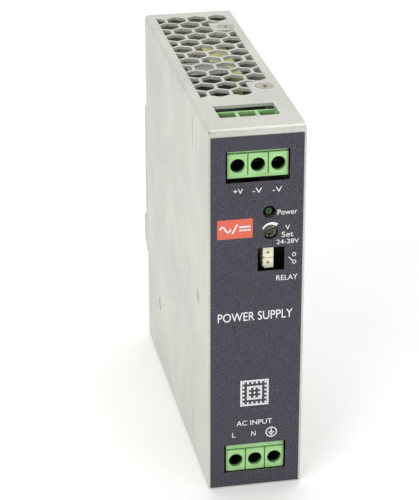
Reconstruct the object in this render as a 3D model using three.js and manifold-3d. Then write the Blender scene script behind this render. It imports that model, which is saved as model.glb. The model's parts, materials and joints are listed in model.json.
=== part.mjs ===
// A slim DIN-rail power supply: a folded sheet-metal case with vented top and bottom, two
// three-pole screw terminal blocks, a trimmer, a status lamp and a relay socket on the front,
// the converter's boards and components inside, and a sprung rail clip on the back.
//
// Millimetres. X runs across the width, Y from the front to the back, Z up.
// The origin is at the centre of the bounding box's base.

import * as THREE from "three";
import { mergeVertices } from "three/addons/utils/BufferGeometryUtils.js";
import Module from "manifold-3d";

const wasm = await Module();
wasm.setup();

// ---------------------------------------------------------------- driving dimensions

const WIDTH = 30.5; // case, across X
const HEIGHT = 124; // case, along Z
const DEPTH = 116; // front face of the label to the back wall
const OVERALL_DEPTH = 122.5; // front face of the label to the tip of the rail clip
const SHEET = 1; // case metal
const LABEL = 0.18; // thickness of the front label
const FRONT = 0.2; // outer face of the front wall
const FIT = 0.15; // clearance between pieces that touch on the real object

const SIDE_BEND = 1.5; // outer bend radii of the case
const TOP_FRONT_BEND = 2;
const BOTTOM_FRONT_BEND = 1;
const BACK_BEND = 2.2;

const POLE_PITCH = 6.33; // terminal blocks
const POLES = 3;
const BLOCK_X = 0.35; // the blocks sit a little right of centre
const BLOCK_HALF_WIDTH = 9.45;
const BLOCK_FACE = 1; // Y of the screw face
const BLOCK_RIM = { width: 0.5, step: 0.25 }; // end walls, set back from the screw face
const BLOCK_LEDGE = 1.4; // Y of the ledge above the screw face
const BLOCK_GROOVE = 1.95; // Y of the floor of the groove between them
const BLOCK_BACK = 19.8;
const OUTPUT_AXIS_Z = 111.95; // height of the terminal screws
const INPUT_AXIS_Z = 9.5;
const SCREW_FACE_UP = 3.8; // height of the screw face above the screw axis
const SCREW_BORE = 2.3; // radius of the well that a screw is turned through

const HEX_PITCH = 7.25; // vent lattice, centre to centre
const HEX_WEB = 1; // metal left between neighbouring holes
const VENT = { left: -11.8, right: 12.3, front: 29.6, back: 112.2, rows: 13, firstRow: 32.8 };
const VENT_COLUMN = -5.15; // X of one hole in the odd rows

const COVER_SCREWS = [
  { name: "front", x: 10.2, y: 36.8, clear: 8 },
  { name: "rear", x: 10.3, y: 98.6, clear: 4.2 },
]; // `clear` is how far the vent stays in front of the screw
const SCREW_KEEP_OUT = 5.2; // radius round a cover screw that the vent leaves whole

const WIRE_WINDOW = { x0: -9.6, x1: 9.4, y0: 10.9, y1: 21.2 };
const LAMP = { x: 3.8, z: 96.5, r: 2 };
const TRIMMER = { x: 4.3, z: 89.6, r: 2.3 };
const RELAY_WINDOW = { x0: 0.3, x1: 8.8, z0: 76.7, z1: 84.5 };
const RELAY_SOCKET = { x: 4.2, z: 79.9, face: 2.6, cell: 3.4 };
const OUTPUT_WINDOW = { x0: -9.9, x1: 10.1, z0: 106.8, z1: 117 };
const INPUT_WINDOW = { x0: -10, x1: 10.15, z0: 5.7, z1: 15.8 };
const METAL_CLEAR = 0.5; // the front wall's openings are this much larger than the label's
const EDGE_NICKS = [[56.5, 58.6], [66.3, 68.05]]; // Z spans of the nicks in the front's left edge

const STANDOFFS = [
  { name: "front", y: 16.4, z: 61.9 },
  { name: "rear", y: 88.2, z: 25 },
];
const LINER_SLOTS = { y: 25.2, width: 0.5, spans: [[4.8, 16.8], [108.7, 119.7]] };

const BOARD = { x0: -10.3, x1: -8.7, front: 12.5, back: 111, low: 5, high: 119 };
const TERMINAL_BOARD = { y0: 20.1, y1: 21.7 };
const SIGNAL_BOARD = { y0: 9.2, y1: 10.8 };

const RAIL_Z = 62; // centre of the 35 mm rail
const RAIL_HALF = 17.5;
const SEAT = 119; // Y of the face that the rail's flanges rest on
const LAND = 0.3; // the seat stands this much proud of the rest of the bracket
const FLANGE_SLOT = 1.25; // room for a flange 1 mm thick

// ---------------------------------------------------------------- solids from geometry

// Turns a closed three.js geometry into a solid.
function solid(geometry) {
  const bare = geometry.index ? geometry.toNonIndexed() : geometry.clone();
  bare.deleteAttribute("normal");
  bare.deleteAttribute("uv");
  const merged = mergeVertices(bare, 1e-4);
  return new wasm.Manifold(
    new wasm.Mesh({
      numProp: 3,
      vertProperties: merged.attributes.position.array,
      triVerts: new Uint32Array(merged.index.array),
    }),
  );
}

// Turns a solid back into a geometry with flat faces.
function geometryOf(body) {
  const mesh = body.getMesh();
  const indexed = new THREE.BufferGeometry();
  indexed.setAttribute("position", new THREE.BufferAttribute(mesh.vertProperties, mesh.numProp));
  indexed.setIndex(new THREE.BufferAttribute(mesh.triVerts, 1));
  const flat = indexed.toNonIndexed();
  flat.computeVertexNormals();
  return flat;
}

const join = (first, ...rest) => rest.reduce((sum, body) => sum.add(body), first);
const cut = (first, ...rest) => rest.reduce((sum, body) => sum.subtract(body), first);
const meet = (first, ...rest) => rest.reduce((sum, body) => sum.intersect(body), first);

function box(x0, x1, y0, y1, z0, z1) {
  const geometry = new THREE.BoxGeometry(x1 - x0, y1 - y0, z1 - z0);
  return solid(geometry.translate((x0 + x1) / 2, (y0 + y1) / 2, (z0 + z1) / 2));
}

const AXES = {
  x: new THREE.Vector3(1, 0, 0),
  y: new THREE.Vector3(0, 1, 0),
  z: new THREE.Vector3(0, 0, 1),
};

// Extrudes a shape along an axis. The shape's own X and Y are the next two axes in turn:
// (y, z) along X, (z, x) along Y and (x, y) along Z.
function extrude(axis, shape, from, to, curveSegments = 5) {
  const turn = { x: ["y", "z"], y: ["z", "x"], z: ["x", "y"] }[axis];
  const geometry = new THREE.ExtrudeGeometry(shape, {
    depth: to - from,
    bevelEnabled: false,
    curveSegments,
  });
  geometry.translate(0, 0, from);
  const basis = new THREE.Matrix4().makeBasis(AXES[turn[0]], AXES[turn[1]], AXES[axis]);
  return solid(geometry.applyMatrix4(basis));
}

const polygon = (points) => new THREE.Shape(points.map(([a, b]) => new THREE.Vector2(a, b)));

// A rectangle with its own radius at each corner, in the order (a0,b0), (a1,b0), (a1,b1), (a0,b1).
function rounded(a0, a1, b0, b1, radii) {
  const [r0, r1, r2, r3] = radii;
  const shape = new THREE.Shape();
  shape.moveTo(a0 + r0, b0);
  shape.lineTo(a1 - r1, b0);
  if (r1) shape.absarc(a1 - r1, b0 + r1, r1, -Math.PI / 2, 0, false);
  shape.lineTo(a1, b1 - r2);
  if (r2) shape.absarc(a1 - r2, b1 - r2, r2, 0, Math.PI / 2, false);
  shape.lineTo(a0 + r3, b1);
  if (r3) shape.absarc(a0 + r3, b1 - r3, r3, Math.PI / 2, Math.PI, false);
  shape.lineTo(a0, b0 + r0);
  if (r0) shape.absarc(a0 + r0, b0 + r0, r0, Math.PI, (3 * Math.PI) / 2, false);
  return shape;
}

// A solid of revolution about an axis through the other two coordinates. The profile is a list
// of (radius, distance along the axis), from the axis round to the axis, distance rising.
function turned(axis, a, b, profile, segments = 20) {
  const points = profile.map(([radius, along]) => new THREE.Vector2(radius, along));
  const geometry = new THREE.LatheGeometry(points, segments);
  const turn = { x: ["y", "z"], y: ["z", "x"], z: ["x", "y"] }[axis];
  const basis = new THREE.Matrix4().makeBasis(AXES[turn[1]], AXES[axis], AXES[turn[0]]);
  const place = new THREE.Vector3().addScaledVector(AXES[turn[0]], a).addScaledVector(AXES[turn[1]], b);
  return solid(geometry.applyMatrix4(basis).translate(place.x, place.y, place.z));
}

const rod = (axis, a, b, radius, from, to, segments = 20) =>
  turned(axis, a, b, [[0, from], [radius, from], [radius, to], [0, to]], segments);

// ---------------------------------------------------------------- materials

const material = (color, roughness, metalness) =>
  new THREE.MeshStandardMaterial({ color, roughness, metalness });

const MATERIALS = {
  case_metal: material(0xd6d7d0, 0.45, 0.55),
  label: material(0x4b4a55, 0.6, 0),
  screw_metal: material(0xc9c8b8, 0.35, 0.9),
  terminal_green: material(0x8fce78, 0.4, 0),
  terminal_metal: material(0xc4c6c4, 0.3, 1),
  screw_dark: material(0x42403e, 0.3, 1),
  contact_tin: material(0xcfcabb, 0.35, 1),
  board_green: material(0x2c6b3a, 0.5, 0),
  board_black: material(0x1a1b1c, 0.5, 0),
  lamp_green: material(0x1f5a25, 0.15, 0),
  trimmer_white: material(0xe7e4d6, 0.5, 0),
  trimmer_rotor: material(0x8a8768, 0.4, 0.4),
  socket_cream: material(0xf1ecd2, 0.5, 0),
  liner: material(0x23252a, 0.5, 0),
  capacitor: material(0x26262c, 0.4, 0),
  ferrite: material(0x3a3a3c, 0.7, 0.1),
  tape_yellow: material(0xd9cf6a, 0.5, 0),
  heatsink: material(0xb9bcbc, 0.4, 0.9),
  package_black: material(0x1d1d1f, 0.5, 0),
  copper: material(0x6b4226, 0.35, 0.7),
  film_yellow: material(0xcdbb3c, 0.5, 0),
  fuse: material(0xe6e2d4, 0.4, 0),
  clip_metal: material(0xd0d1cc, 0.4, 0.7),
  spring_steel: material(0xb4b6b8, 0.3, 1),
};

const part = new THREE.Group();
const assembly = new THREE.Group();
assembly.position.y = -OVERALL_DEPTH / 2;
part.add(assembly);

function add(name, body, finish, parent = assembly) {
  const mesh = new THREE.Mesh(geometryOf(body), MATERIALS[finish]);
  mesh.name = name;
  parent.add(mesh);
}

// ---------------------------------------------------------------- case

// The case's outer or inner form: inset 0 is the outside and SHEET the inside.
function caseForm(inset, right) {
  const x0 = -WIDTH / 2 + inset;
  const y0 = FRONT + inset;
  const y1 = DEPTH - inset;
  const z1 = HEIGHT - inset;
  const across = rounded(inset, z1, x0, right, [SIDE_BEND - inset, SIDE_BEND - inset, 0, 0]);
  const alongside = rounded(y0, y1, inset, z1, [BOTTOM_FRONT_BEND - inset, 0, 0, TOP_FRONT_BEND - inset]);
  const plan = rounded(x0, right, y0, y1, [0, 0, 0, BACK_BEND - inset]);
  return meet(
    extrude("y", across, y0, y1, 4),
    extrude("x", alongside, x0 - 1, right + 1, 4),
    extrude("z", plan, inset - 1, z1 + 1, 4),
  );
}

// The vent's hexagons, standing as prisms from low to high, clipped to the vent's rectangle and
// kept clear of the cover screws.
function ventPrisms(low, high) {
  const radius = (HEX_PITCH - HEX_WEB) / Math.sqrt(3);
  const rowPitch = (HEX_PITCH * Math.sqrt(3)) / 2;
  const prisms = [];
  for (let row = 0; row < VENT.rows; row += 1) {
    const y = VENT.firstRow + row * rowPitch;
    const shift = row % 2 ? HEX_PITCH / 2 : 0;
    for (let column = -2; column < 4; column += 1) {
      const x = VENT_COLUMN + shift + column * HEX_PITCH;
      if (x < VENT.left - 1 || x > VENT.right + 1) continue;
      const corners = Array.from({ length: 6 }, (_, i) => {
        const angle = Math.PI / 2 + (i * Math.PI) / 3;
        return [x + radius * Math.cos(angle), y + radius * Math.sin(angle)];
      });
      prisms.push(extrude("z", polygon(corners), low, high));
    }
  }
  const field = box(VENT.left, VENT.right, VENT.front, VENT.back, low, high);
  const bosses = COVER_SCREWS.map(({ x, y, clear }) =>
    box(x - SCREW_KEEP_OUT, x + 9, y - clear, y + SCREW_KEEP_OUT - 1, low, high));
  const clipped = meet(join(...prisms), field);
  // Slivers left by the clipping are dropped.
  const whole = cut(clipped, ...bosses).decompose().filter((piece) => piece.volume() > 6 * (high - low));
  return join(...whole);
}

function frontOpenings(y0, y1, margin) {
  const windows = [OUTPUT_WINDOW, INPUT_WINDOW, RELAY_WINDOW].map(({ x0, x1, z0, z1 }) =>
    box(x0 - margin, x1 + margin, y0, y1, z0 - margin, z1 + margin));
  const holes = [LAMP, TRIMMER].map(({ x, z, r }) => rod("y", z, x, r + margin, y0, y1, 24));
  return [...windows, ...holes];
}

function housingShell() {
  const right = WIDTH / 2;
  const walls = cut(caseForm(0, right), caseForm(SHEET, right + 5));
  const slots = LINER_SLOTS.spans.map(([z0, z1]) =>
    box(-WIDTH, -WIDTH / 2 + 2 * SHEET, LINER_SLOTS.y - LINER_SLOTS.width / 2,
      LINER_SLOTS.y + LINER_SLOTS.width / 2, z0, z1));
  const studHoles = STANDOFFS.map(({ y, z }) => rod("x", y, z, 2.25, -WIDTH, -WIDTH / 2 + 2 * SHEET, 16));
  const topHoles = COVER_SCREWS.map(({ x, y }) => countersink(x, y, 1));
  const bottomHoles = COVER_SCREWS.map(({ x, y }) => countersink(x, y, -1));
  const { x0, x1, y0, y1 } = WIRE_WINDOW;
  const bracketHoles = [-1, 1].map((side) =>
    rod("y", BRACKET_SCREW.z, side * BRACKET_SCREW.x, 1.65, DEPTH - 3, DEPTH + 3, 12));
  const edge = -WIDTH / 2;
  const nicks = EDGE_NICKS.map(([z0, z1]) => box(edge - 1, edge + 0.3, -1, FRONT + 0.55, z0, z1));
  const cornerRelief = rod("y", HEIGHT - 0.75, edge + 0.55, 0.38, -1, FRONT + 1.3, 10);
  return cut(
    walls,
    ...frontOpenings(-1, 3, METAL_CLEAR),
    ...nicks,
    cornerRelief,
    box(x0, x1, y0, y1, HEIGHT - 3, HEIGHT + 3),
    box(x0, x1, y0, y1, -3, 3),
    ventPrisms(HEIGHT - 1.5, HEIGHT + 0.5),
    ventPrisms(-0.5, 1.5),
    ...slots,
    ...studHoles,
    ...topHoles,
    ...bottomHoles,
    ...bracketHoles,
  );
}

// The conical hole for a flush cover screw in the top (side 1) or bottom (side -1) wall.
function countersink(x, y, side) {
  const depth = 1.6;
  const profile = [[0, -depth], [1.45, -depth], [3.05, 0], [3.25, 0.2], [0, 0.2]];
  const placed = side > 0
    ? profile.map(([r, along]) => [r, HEIGHT + along])
    : profile.map(([r, along]) => [r, -along]).reverse();
  return turned("z", x, y, placed, 24);
}

// The cover closes the open right side between the walls, with tabs that the cover screws draw
// against the top and bottom walls and a lip behind the back wall.
function sideCover() {
  const inner = WIDTH / 2 - SHEET;
  const gap = SHEET + FIT;
  const corners = [0.3, 0.3, 0.3, TOP_FRONT_BEND - SHEET];
  const outline = rounded(FRONT + gap, DEPTH - gap, gap, HEIGHT - gap, corners);
  const plate = extrude("x", outline, inner, WIDTH / 2, 4);
  const tabs = COVER_SCREWS.flatMap(({ x, y }) => [-1, 1].map((side) => {
    const [z0, z1] = side > 0 ? [HEIGHT - gap - SHEET, HEIGHT - gap] : [gap, gap + SHEET];
    return cut(box(x - 4.4, inner + 0.2, y - 5, y + 5, z0, z1), rod("z", x, y, 1.75, z0 - 1, z1 + 1, 12));
  }));
  const backLip = box(inner - 1.6, inner + 0.2, DEPTH - gap - SHEET, DEPTH - gap, 8, HEIGHT - 8);
  return join(plate, ...tabs, backLip);
}

function frontLabel() {
  const edge = 14.5;
  const sheet = box(-edge, edge, 0, LABEL, 0.7, 121.8);
  return cut(sheet, ...frontOpenings(-1, 3, 0));
}

// A flush M3 screw with a cross recess, its head towards `side` along Z.
function coverScrew(x, y, side) {
  const profile = [[0, -5.5], [1.25, -5.5], [1.42, -5], [1.42, -1.4], [2.85, -0.03], [0, -0.03]];
  const placed = side > 0
    ? profile.map(([r, along]) => [r, HEIGHT + along])
    : profile.map(([r, along]) => [r, -along]).reverse();
  const face = side > 0 ? HEIGHT : 0;
  const [z0, z1] = side > 0 ? [face - 1, face + 1] : [face - 1, face + 1];
  return cut(
    turned("z", x, y, placed, 20),
    box(x - 1.5, x + 1.5, y - 0.35, y + 0.35, z0, z1),
    box(x - 0.35, x + 0.35, y - 1.5, y + 1.5, z0, z1),
  );
}

// ---------------------------------------------------------------- boards and their fixings

function insulationSheet() {
  const x0 = -WIDTH / 2 + SHEET + 0.35;
  const sheet = box(x0, x0 + 0.4, 12, 112, 4, 120);
  const tabs = LINER_SLOTS.spans.map(([z0, z1]) =>
    box(-WIDTH / 2 + 0.3, x0 + 0.1, LINER_SLOTS.y - 0.15, LINER_SLOTS.y + 0.15, z0 + 0.6, z1 - 0.6));
  const holes = STANDOFFS.map(({ y, z }) => rod("x", y, z, 2.9, x0 - 1, x0 + 1, 16));
  return cut(join(sheet, ...tabs), ...holes);
}

function mainBoard() {
  const { x0, x1, front, back, low, high } = BOARD;
  const notch = TERMINAL_BOARD.y1 + 0.7;
  const outline = polygon([
    [front, 20.5], [notch, 20.5], [notch, low], [back, low],
    [back, high], [notch, high], [notch, 103.5], [front, 103.5],
  ]);
  const holes = STANDOFFS.map(({ y, z }) => rod("x", y, z, 1.7, x0 - 1, x1 + 1, 12));
  return cut(extrude("x", outline, x0, x1), ...holes);
}

// A flush-head standoff pressed into the left wall, with a blind thread for the board's screw.
function standoff({ y, z }) {
  const head = -WIDTH / 2 + 0.12;
  const shoulder = -WIDTH / 2 + SHEET + 0.1;
  const end = BOARD.x0 - FIT;
  return turned("x", y, z, [
    [0, head], [2.1, head], [2.1, shoulder], [2.55, shoulder], [2.55, end],
    [1.65, end], [1.65, end - 2.9], [0, end - 2.9],
  ], 16);
}

function boardScrew({ y, z }) {
  const seat = BOARD.x1 + 0.1;
  return cut(
    turned("x", y, z, [
      [0, seat - 4.3], [1.42, seat - 4.3], [1.42, seat], [2.75, seat],
      [2.75, seat + 1.1], [1.9, seat + 1.9], [0, seat + 1.9],
    ], 16),
    box(seat + 1, seat + 3, y - 1.4, y + 1.4, z - 0.35, z + 0.35),
    box(seat + 1, seat + 3, y - 0.35, y + 0.35, z - 1.4, z + 1.4),
  );
}

function signalBoard() {
  return box(-7.5, 12.5, SIGNAL_BOARD.y0, SIGNAL_BOARD.y1, 70, 101);
}

// ---------------------------------------------------------------- terminal blocks

// Both blocks have the same poles. `way` is 1 where the wires enter from above and -1 where
// they enter from below.
// `down` is the height of the screw face below the screw axis, and `foot` the step at its foot.
const OUTPUT = { label: "output", axisZ: OUTPUT_AXIS_Z, way: 1, wireEnd: 122.5, down: 4.05, foot: 0.9 };
const INPUT = { label: "input", axisZ: INPUT_AXIS_Z, way: -1, wireEnd: 1.5, down: 3.7, foot: 0 };
const CONTACT = { y0: 14.4, y1: 15, leg: 23 };

const poleX = (index) => BLOCK_X + (index - (POLES - 1) / 2) * POLE_PITCH;

// A box from `near` to `far` of the screw axis, counted towards the wires.
function towardsWires({ axisZ, way }, x0, x1, y0, y1, near, far) {
  const a = axisZ + way * near;
  const b = axisZ + way * far;
  return box(x0, x1, y0, y1, Math.min(a, b), Math.max(a, b));
}

function blockOutline({ axisZ, way, wireEnd, down }) {
  const faceLow = axisZ - down;
  const faceHigh = axisZ + SCREW_FACE_UP;
  const ledgeLow = faceHigh + 0.35;
  const front = [[BLOCK_FACE, faceLow], [BLOCK_FACE, faceHigh], [BLOCK_GROOVE, faceHigh],
    [BLOCK_GROOVE, ledgeLow], [BLOCK_LEDGE, ledgeLow]];
  if (way > 0) return [...front, [BLOCK_LEDGE, wireEnd], [BLOCK_BACK, wireEnd], [BLOCK_BACK, faceLow]];
  const top = ledgeLow + 2.85;
  const step = BLOCK_FACE + 2.5;
  const back = [[BLOCK_LEDGE, top], [BLOCK_BACK, top], [BLOCK_BACK, wireEnd]];
  return [...front, ...back, [step, wireEnd], [step, faceLow]];
}

function terminalBlock(block) {
  const { axisZ, way, wireEnd, down, foot } = block;
  const left = BLOCK_X - BLOCK_HALF_WIDTH;
  const right = BLOCK_X + BLOCK_HALF_WIDTH;
  const faceLow = axisZ - down;
  const faceHigh = axisZ + SCREW_FACE_UP;
  const body = extrude("x", polygon(blockOutline(block)), left, right);
  const toWire = (wireEnd - axisZ) * way + 1;
  const cuts = [];
  for (let index = 0; index < POLES; index += 1) {
    const x = poleX(index);
    cuts.push(
      rod("y", axisZ, x, SCREW_BORE, 0, 8, 28),
      rod("y", axisZ, x, 1.7, 7, 10, 12),
      towardsWires(block, x - 2.6, x + 2.6, 8.8, 19.1, -3.1, 3.4),
      towardsWires(block, x - 2.6, x + 2.6, 11.3, 19.1, 3.3, toWire),
      towardsWires(block, x - 1.5, x + 1.5, 18, BLOCK_BACK + 1, -3.1, -2.25),
    );
  }
  const grooves = [-0.5, 0.5].map((gap) => {
    const x = BLOCK_X + gap * POLE_PITCH;
    return box(x - 0.2, x + 0.2, 0, BLOCK_FACE + 0.8, faceLow + foot, faceHigh + 0.1);
  });
  const rimFace = BLOCK_FACE + BLOCK_RIM.step;
  const rims = [[left - 1, left + BLOCK_RIM.width], [right - BLOCK_RIM.width, right + 1]].map(([x0, x1]) =>
    box(x0, x1, 0, rimFace, faceLow - 1, faceHigh + 0.1));
  const footStep = foot ? [box(left - 1, right + 1, 0, rimFace, faceLow - 1, faceLow + foot)] : [];
  return cut(body, ...cuts, ...grooves, ...rims, ...footStep);
}

// A captive M3 screw: it turns in place and draws the clamp along its thread.
function terminalScrew({ axisZ }, index) {
  const x = poleX(index);
  return cut(
    turned("y", axisZ, x, [
      [0, 5.6], [1.7, 5.6], [2, 5.9], [2, 7.5], [1.45, 7.5], [1.45, 13.8], [1.1, 14.2], [0, 14.2],
    ], 20),
    box(x - 3, x + 3, 5, 6.5, axisZ - 0.3, axisZ + 0.3),
  );
}

// The rising clamp: a square frame whose front plate is threaded for the screw.
function wireClamp(block, index) {
  const x = poleX(index);
  return cut(
    towardsWires(block, x - 2.3, x + 2.3, 12, 18.95, -2.1, 2.8),
    towardsWires(block, x - 1.6, x + 1.6, 13.4, 18.2, -3, 4),
    rod("y", block.axisZ, x, 1.6, 11, 14, 12),
  );
}

// The fixed contact that the wire is clamped against, with its solder leg.
function terminalContact(block, index) {
  const x = poleX(index);
  return join(
    towardsWires(block, x - 1.3, x + 1.3, CONTACT.y0, CONTACT.y1, -3, 2.9),
    towardsWires(block, x - 1.3, x + 1.3, CONTACT.y0, CONTACT.leg, -3, -2.4),
  );
}

function terminalBoard(block) {
  const { axisZ, way } = block;
  const low = way > 0 ? 105 : 2.5;
  const sheet = box(-11.2, 11.5, TERMINAL_BOARD.y0, TERMINAL_BOARD.y1, low, low + 16.5);
  const holes = [];
  for (let index = 0; index < POLES; index += 1) {
    const x = poleX(index);
    holes.push(towardsWires({ axisZ, way }, x - 1.5, x + 1.5, 19, 23, -3.2, -2.2));
  }
  return cut(sheet, ...holes);
}

// ---------------------------------------------------------------- front controls

function statusLamp() {
  const dome = [];
  for (let step = 0; step <= 4; step += 1) {
    const angle = (step / 4) * (Math.PI / 2);
    dome.push([1.5 * Math.sin(angle), 2.1 - 1.5 * Math.cos(angle)]);
  }
  return turned("y", LAMP.z, LAMP.x, [...dome, [1.5, 7.6], [1.9, 7.6], [1.9, 8.6], [0, 8.6]], 20);
}

function trimmerBody() {
  const { x, z } = TRIMMER;
  return cut(
    box(x - 3.2, x + 3.2, 6, SIGNAL_BOARD.y0 - FIT, z - 3.2, z + 3.2)
      .add(rod("y", z, x, 2.6, 3.3, 6.1, 24)),
    rod("y", z, x, 1.1, 3, 8, 12),
  );
}

function trimmerRotor() {
  const { x, z } = TRIMMER;
  return cut(
    turned("y", z, x, [
      [0, 1.3], [1.9, 1.3], [2.15, 1.6], [2.15, 3.1], [0.9, 3.1], [0.9, 7.7], [0, 7.7],
    ], 20),
    box(x - 1.7, x + 1.7, 1, 2.1, z - 0.35, z + 0.35),
    box(x - 0.35, x + 0.35, 1, 2.1, z - 1.7, z + 1.7),
  );
}

// Two square cells, one above the other, each with a keyed corner and a pointed contact hole.
function relaySocket() {
  const { x, z, face, cell } = RELAY_SOCKET;
  const cells = [-1, 1].flatMap((step) => {
    const middle = z + (step * cell) / 2;
    const hole = polygon([[middle - 0.45, x - 0.65], [middle + 0.75, x - 0.05], [middle - 0.25, x + 0.6]]);
    const [low, left] = [middle - cell / 2 - 0.1, x - cell / 2 - 0.1];
    const key = polygon([[low, left], [low + 1, left], [low, left + 0.85]]);
    return [extrude("y", hole, face - 1, face + 3.8), extrude("y", key, face - 1, face + 1.6)];
  });
  return cut(
    box(x - cell / 2, x + cell / 2, face, SIGNAL_BOARD.y0 - FIT, z - cell, z + cell),
    ...cells,
    box(x - 3, x + 3, face - 1, face + 0.5, z - 0.16, z + 0.16),
  );
}

// ---------------------------------------------------------------- power components

const ON_BOARD = BOARD.x1 + 0.2; // X of the components' feet

// A can capacitor standing on the board: a sleeve with a rolled groove near its foot.
function canCapacitor(y, z, radius, height) {
  const foot = ON_BOARD;
  const top = foot + height;
  return turned("x", y, z, [
    [0, foot], [radius - 0.4, foot], [radius, foot + 0.5], [radius, foot + 2], [radius - 0.6, foot + 2.6],
    [radius, foot + 3.2], [radius, top - 0.6], [radius - 0.6, top], [0, top],
  ], 24);
}

const TRANSFORMER = { y: 82, z: 104 };

// Two E-shaped ferrite halves about a wound bobbin.
function transformerCore() {
  const foot = ON_BOARD + 2.2;
  const { y, z } = TRANSFORMER;
  return cut(
    box(foot, foot + 17, y - 15, y + 15, z - 13, z + 13),
    box(foot - 1, foot + 18, y - 10.6, y + 10.6, z - 9.2, z + 9.2),
  );
}

function transformerWinding() {
  const { y, z } = TRANSFORMER;
  const tape = extrude("x", rounded(y - 10.2, y + 10.2, z - 8.8, z + 8.8, [3, 3, 3, 3]),
    ON_BOARD + 1, ON_BOARD + 20.5);
  const bobbinFoot = box(ON_BOARD, ON_BOARD + 1.6, y - 12, y + 12, z - 12, z + 12);
  return join(tape, bobbinFoot);
}

// A heat sink along the board: a plate on edge with a folded foot and a folded lip.
function primaryHeatsink() {
  const foot = ON_BOARD;
  const { y0, y1, z, height } = PRIMARY_SINK;
  return join(
    box(foot, foot + height, y0, y1, z, z + 2),
    box(foot, foot + 1.2, y0, y1, z, z + 6),
    box(foot + height - 1.2, foot + height, y0, y1, z, z + 5),
  );
}
const PRIMARY_SINK = { y0: 30, y1: 76, z: 52, height: 21 };

// A heat sink across the case, with its upper lip folded back over the transformer.
function secondaryHeatsink() {
  const foot = ON_BOARD;
  const { y, z0, z1, height } = SECONDARY_SINK;
  return join(
    box(foot, foot + height, y, y + 2, z0, z1),
    box(foot, foot + 1.2, y - 4, y + 2, z0, z1 - 20),
    box(foot, foot + height, y, y + 12, z1 - 1.2, z1),
  );
}
const SECONDARY_SINK = { y: 63.9, z0: 84, z1: 119.4, height: 13.5 };

// A flat package, its face against a heat sink's.
function powerPackage(y0, y1, z0, z1) {
  return box(ON_BOARD + 3, ON_BOARD + 13, y0, y1, z0, z1);
}

// A ring core wound with wire, standing flat on the board.
function ringChoke(y, z, radius, hole, height) {
  const foot = ON_BOARD + 0.6;
  const profile = [];
  const bulge = 1.2;
  [[radius, 0], [hole, Math.PI]].forEach(([at, start]) => {
    for (let step = 0; step <= 2; step += 1) {
      const angle = -Math.PI / 2 + start + (step / 2) * Math.PI;
      const side = at === radius ? 1 : -1;
      const inset = bulge * (1 - Math.abs(Math.cos(angle)));
      profile.push([at - side * inset, foot + height / 2 + (height / 2) * Math.sin(angle)]);
    }
  });
  return turned("x", y, z, [...profile, profile[0]], 24);
}

function filmCapacitor() {
  return extrude("x", rounded(62, 82, 7.5, 17, [0.8, 0.8, 0.8, 0.8]), ON_BOARD + 0.3, ON_BOARD + 15.5, 2);
}

function fuse() {
  const end = [[0, 27], [2.6, 27], [2.6, 33], [2.4, 33]];
  const far = [[2.4, 43], [2.6, 43], [2.6, 49], [0, 49]];
  return turned("y", 12.5, ON_BOARD + 4.6, [...end, ...far], 16);
}

// ---------------------------------------------------------------- rail clip

const BRACKET_SCREW = { x: 11, z: 57 };
const BRACKET_FRONT = DEPTH + FIT;
const TONGUE = { y0: BRACKET_FRONT + 0.2, y1: 117.6, halfWidth: 7 };
const SPRING = { y: 119.7, low: 52.3, high: 67.7, radius: 1.7, wire: 0.28, turns: 7.5 };
const HOOK_TIP = OVERALL_DEPTH;

function dinBracket() {
  const railTop = RAIL_Z + RAIL_HALF;
  const back = SEAT - LAND;
  const landLow = RAIL_Z - RAIL_HALF + 2.9; // clear of the latch's nose
  const landHigh = railTop - 2.9; // clear of the hook
  const side = polygon([
    [BRACKET_FRONT, 38.4], [back, 38.4], [back, landLow], [SEAT, landLow], [SEAT, landHigh],
    [back, landHigh], [back, 89], [back - 1, 90], [BRACKET_FRONT, 90],
  ]);
  const plate = extrude("x", side, -15, 15);
  const hook = extrude("x", polygon([
    [SEAT - 0.5, railTop + 0.4], [SEAT + FLANGE_SLOT, railTop + 0.4], [SEAT + FLANGE_SLOT, railTop - 2.6],
    [HOOK_TIP - 0.6, railTop - 1.6], [HOOK_TIP - 0.6, railTop + 4.5], [SEAT - 0.5, railTop + 7.5],
  ]), -12.5, 12.5);
  const pocketBody = box(-4, 4, SEAT - 0.5, 122.3, 50, 73.2);
  const pocket = box(-2.4, 2.4, BRACKET_FRONT - 1, 121.7, 52, 70.9);
  const channel = box(-TONGUE.halfWidth - 0.3, TONGUE.halfWidth + 0.3, BRACKET_FRONT - 1, 117.9, 30, 70.9);
  const screwHoles = [-1, 1].map((s) => turned("y", BRACKET_SCREW.z, s * BRACKET_SCREW.x, [
    [0, DEPTH - 1], [1.65, DEPTH - 1], [1.65, SEAT - 1.5], [3.15, SEAT], [3.15, SEAT + 1], [0, SEAT + 1],
  ], 16));
  return cut(join(plate, hook, pocketBody), pocket, channel, ...screwHoles);
}

// The sliding latch: a nose across the full width that hooks behind the rail's lower flange, a
// tongue up the bracket's channel to the spring, and a pull tab with a screwdriver slot.
function dinLatch() {
  const railLow = RAIL_Z - RAIL_HALF;
  const nose = extrude("x", polygon([
    [TONGUE.y0, 33.2], [SEAT, 33.2], [HOOK_TIP, 36.6], [HOOK_TIP, railLow + 1.4],
    [SEAT + FLANGE_SLOT, railLow + 2.6], [SEAT + FLANGE_SLOT, railLow - 0.4],
    [SEAT + 0.3, railLow - 0.4], [SEAT + 0.3, 38], [TONGUE.y0, 38],
  ]), -15, 15);
  const { y0, y1, halfWidth } = TONGUE;
  const tongue = box(-halfWidth, halfWidth, y0, y1, 37, 70.6);
  const lug = box(-2.1, 2.1, y0, 121.4, 68, 70.6);
  const tab = extrude("y", rounded(5, 34, -6.5, 6.5, [2, 0, 0, 2]), y0, y1 + 0.3, 3);
  const toolSlot = box(-3, 3, y0 - 1, y1 + 1, 8.5, 10.5);
  return cut(join(nose, tongue, lug, tab), toolSlot);
}

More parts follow.
